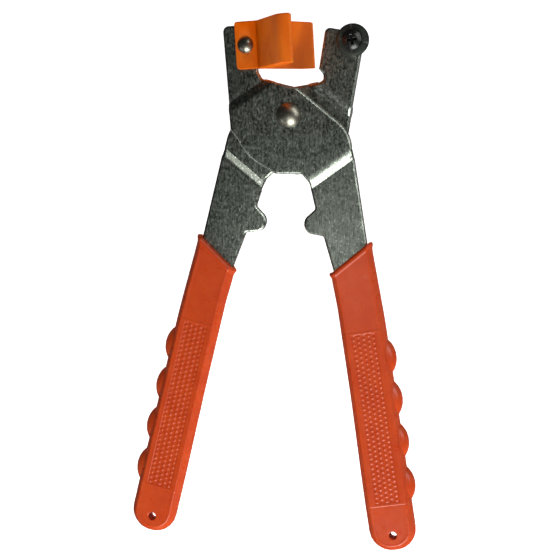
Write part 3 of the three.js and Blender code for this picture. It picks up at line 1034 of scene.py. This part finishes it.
def grip_sides(bm, shape, rows, faces):
    """The sloped sides, front and back, as bands of vertices from the rim to
    the outline, where both sides share one band."""
    # shares of the way from the crease to the outline
    reaches = [0.06, 0.12, 0.18, 0.24, 0.30, 0.37, 0.45, 0.53, 0.61, 0.69, 0.76, 0.83, 0.89,
               0.94, 0.975, 0.994]
    mid, flat, _ = shape.cap()
    n = len(rows)
    count = len(faces[0][1])
    edge_row = None
    skirts = []
    for sign, rim, _ in faces:
        bands = [rim]
        for reach in reaches + [1.0]:
            last = reach == 1.0
            if last and edge_row is not None:
                bands.append(edge_row)
                continue
            band = []
            for s in range(count):
                across0, along0, face = rim[s].co.x, -rim[s].co.y, abs(rim[s].co.z)
                if s < n or s >= count - n:
                    m = rows[s] if s < n else rows[count - 1 - s]
                    inner, outer = shape.edges(m)
                    tip = inner if s < n else outer + shape.bump_reach(m)
                    across = across0 + (tip - across0) * reach
                    along = shape.along_of(m, across)
                    out = abs(across - across0)
                    edge = across - inner if s < n else outer - across
                else:
                    centre = Vector((mid + max(-flat, min(flat, across0 - mid)), CAP_START))
                    way = (Vector((across0, along0)) - centre).normalized()
                    across, along = Vector((across0, along0)) + way * SLOPE * reach
                    out, edge = SLOPE * reach, SLOPE * (1 - reach)
                z = 0.0 if last else shape.side_height(out, edge, across, along, face)
                band.append(put(bm, across, along, sign * z))
            bands.append(band)
        edge_row = bands[-1]
        for low, high in zip(bands, bands[1:]):
            for s in range(count - 1):
                bm.faces.new((low[s], low[s + 1], high[s + 1], high[s]))
        skirts.append(bands)
    return skirts


def grip_mouth(bm, shape, faces, skirts):
    """One loop round the front face, the outer side, the back face and the
    inner side, taken in to the sleeve and down it."""
    front, back = faces[0][2][0], faces[1][2][0]
    front_bands, back_bands = skirts
    loop = list(front)
    loop += [band[-1] for band in front_bands[1:]]
    loop += [band[-1] for band in reversed(back_bands[1:-1])]
    loop += list(reversed(back))
    loop += [band[0] for band in back_bands[1:]]
    loop += [band[0] for band in reversed(front_bands[1:-1])]
    first, last = loop[0].co.x, front[-1].co.x
    before = loop
    for station in (0.0, *SLEEVE_NARROWS, SLEEVE_END):
        ring = []
        low = SLEEVE_MOUTH if station < SLEEVE_NARROWS[1] else SLEEVE_IN
        for vert in loop:
            share = (vert.co.x - first) / (last - first)
            across = low + (SLEEVE_OUT - low) * min(max(share, 0.0), 1.0)
            where = shape.mouth_along(across) + 0.05
            if station > 0:
                where = max(station, where + 0.5)
            ring.append(put(bm, across, where, max(-SLEEVE_HALF, min(SLEEVE_HALF, vert.co.z))))
        join_rings(bm, before, ring)
        before = ring
    bm.faces.new(before)


def pierce(bm, faces, shape):
    """Opens a patch of both faces round the hanging hole and joins it to a
    round hole with eased rims."""
    rings = []
    reach = HOLE_R + HOLE_EASE + 0.4
    for sign, _, grid in faces:
        near = [(r, c) for r, row in enumerate(grid) for c, vert in enumerate(row[1:-1], 1)
                if abs(vert.co.x - HOLE_AT.x) < reach and abs(-vert.co.y - HOLE_AT.y) < reach]
        r0, r1 = min(r for r, c in near), max(r for r, c in near)
        c0, c1 = min(c for r, c in near), max(c for r, c in near)
        inside = [grid[r][c] for r in range(r0 + 1, r1) for c in range(c0 + 1, c1)]
        bmesh.ops.delete(bm, geom=inside, context="VERTS")
        border = [grid[r0][c] for c in range(c0, c1)] + [grid[r][c1] for r in range(r0, r1)]
        border += [grid[r1][c] for c in range(c1, c0, -1)] + [grid[r][c0] for r in range(r1, r0, -1)]
        before = border
        for share in (1.0, 0.75, 0.5, 0.3, 0.12, 0.03, 0.0):
            ring = []
            for vert in border:
                way = (Vector((vert.co.x, -vert.co.y)) - HOLE_AT).normalized()
                spot = HOLE_AT + way * (HOLE_R + HOLE_EASE * share)
                z = shape.face_height(spot.x, spot.y, CAP_START)
                ring.append(bm.verts.new((spot.x, -spot.y, sign * z)))
            join_rings(bm, before, ring)
            before = ring
        rings.append(before)
    join_rings(bm, rings[0], rings[1])


def grip(name, node, body, flip, shape):
    """One closed skin: the face, the sloped sides round it, the same behind,
    a sleeve for the steel and a hole through the end."""
    bm = bmesh.new()
    rows = grip_rows(shape)
    faces = grip_faces(bm, shape, rows)
    skirts = grip_sides(bm, shape, rows, faces)
    grip_mouth(bm, shape, faces, skirts)
    pierce(bm, faces, shape)
    turn = Matrix.Rotation(HANDLE_ANGLE, 4, "Z")
    place = AT_MID @ (TO_BACK if flip else Matrix.Identity(4)) @ turn @ Matrix.Scale(MM, 4)
    bmesh.ops.transform(bm, matrix=place, verts=bm.verts)
    bmesh.ops.remove_doubles(bm, verts=bm.verts, dist=2e-6)
    piece = from_bmesh(name, bm, RED, 50)
    stand_in(piece, node, body)


RIGHT_SHAPE = GripShape(6.85, 0.6, 23.95, (5.9, 60.9), (23.4, 50.5))
LEFT_SHAPE = GripShape(7.2, 0.4, 24.0, (5.8, 61.4), (23.3, 51.0))
grip("right_grip_sleeve", "right_grip", "front", False, RIGHT_SHAPE)
grip("left_grip_sleeve", "left_grip", "rear", True, LEFT_SHAPE)


# ------------------------------------------------------ stage, light, camera

def plain(name, color, roughness):
    """A pale matt material that also glows a little, so the floor stays white."""
    material = bpy.data.materials.new(name)
    material.use_nodes = True
    shader = material.node_tree.nodes["Principled BSDF"]
    shader.inputs["Base Color"].default_value = (*color, 1)
    shader.inputs["Roughness"].default_value = roughness
    shader.inputs["Specular IOR Level"].default_value = 0.2
    shader.inputs["Emission Color"].default_value = (1, 1, 1, 1)
    shader.inputs["Emission Strength"].default_value = 0.7
    return material


def floor(level):
    bm = bmesh.new()
    bmesh.ops.create_grid(bm, x_segments=1, y_segments=1, size=2.4)
    bmesh.ops.translate(bm, verts=bm.verts, vec=(0, 0, level))
    ground = from_bmesh("floor", bm, plain("floor_white", (0.93, 0.93, 0.93), 0.9))
    ground.visible_glossy = False
    ground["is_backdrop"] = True


def away(lean_deg, toward_deg):
    """Unit vector lean_deg off the +Z axis, leaning toward_deg from +X."""
    lean, turn = math.radians(lean_deg), math.radians(toward_deg)
    return Vector((math.sin(lean) * math.cos(turn), math.sin(lean) * math.sin(turn), math.cos(lean)))


def softbox(name, lean_deg, toward_deg, distance, size, power, aim):
    """A rectangular lamp facing aim: size and distance in metres, power in
    watts."""
    lamp = bpy.data.lights.new(name, "AREA")
    lamp.shape = "RECTANGLE"
    lamp.size, lamp.size_y = size
    lamp.energy = power
    holder = bpy.data.objects.new(name, lamp)
    holder.visible_camera = False
    bpy.context.scene.collection.objects.link(holder)
    way = away(lean_deg, toward_deg)
    holder.location = aim + way * distance
    holder.rotation_euler = way.to_track_quat("Z", "Y").to_euler()


FLOOR_GAP = 30 * MM
low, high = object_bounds()
centre = (low + high) / 2
floor(low.z - FLOOR_GAP)

# lean off +Z, direction from +X, distance, size, power
softbox("low_key", 52, -75, 0.8, (0.45, 0.4), 7.2, centre)
softbox("upper_right", 51, 37, 0.9, (0.85, 0.12), 2.7, centre)
softbox("arm_glow", 4, -125, 0.22, (0.05, 0.05), 0.018, centre)
softbox("lower_left", 70, -140, 0.9, (0.4, 0.1), 0.5, centre)
softbox("overhead", 30, -58, 1.1, (0.5, 0.4), 0.7, centre)

world = bpy.data.worlds.new("studio")
world.use_nodes = True
world.node_tree.nodes["Background"].inputs["Color"].default_value = (1, 1, 1, 1)
world.node_tree.nodes["Background"].inputs["Strength"].default_value = 0.027
bpy.context.scene.world = world
bpy.context.scene.view_settings.view_transform = "Standard"

# the photo's view: it leans right and to the jaws from straight above
AIM = AT_MID @ Vector((-1.14 * MM, -61.67 * MM, 0))
DISTANCE = 655.7 * MM
LEAN_RIGHT, LEAN_JAWS, ROLL = 9.56, 5.15, -2.46

camera_data = bpy.data.cameras.new("camera")
camera_data.lens = 112.45
camera_data.sensor_width = 36
camera_data.clip_start, camera_data.clip_end = 0.05, 10
camera = bpy.data.objects.new("camera", camera_data)
bpy.context.scene.collection.objects.link(camera)
sight = Vector((math.tan(math.radians(LEAN_RIGHT)), math.tan(math.radians(LEAN_JAWS)), 1)).normalized()
camera.location = AIM + sight * DISTANCE
up = Vector((math.sin(math.radians(ROLL)), math.cos(math.radians(ROLL)), 0))
right = up.cross(sight).normalized()
camera.rotation_euler = Matrix((right, sight.cross(right), sight)).transposed().to_euler()
bpy.context.scene.camera = camera
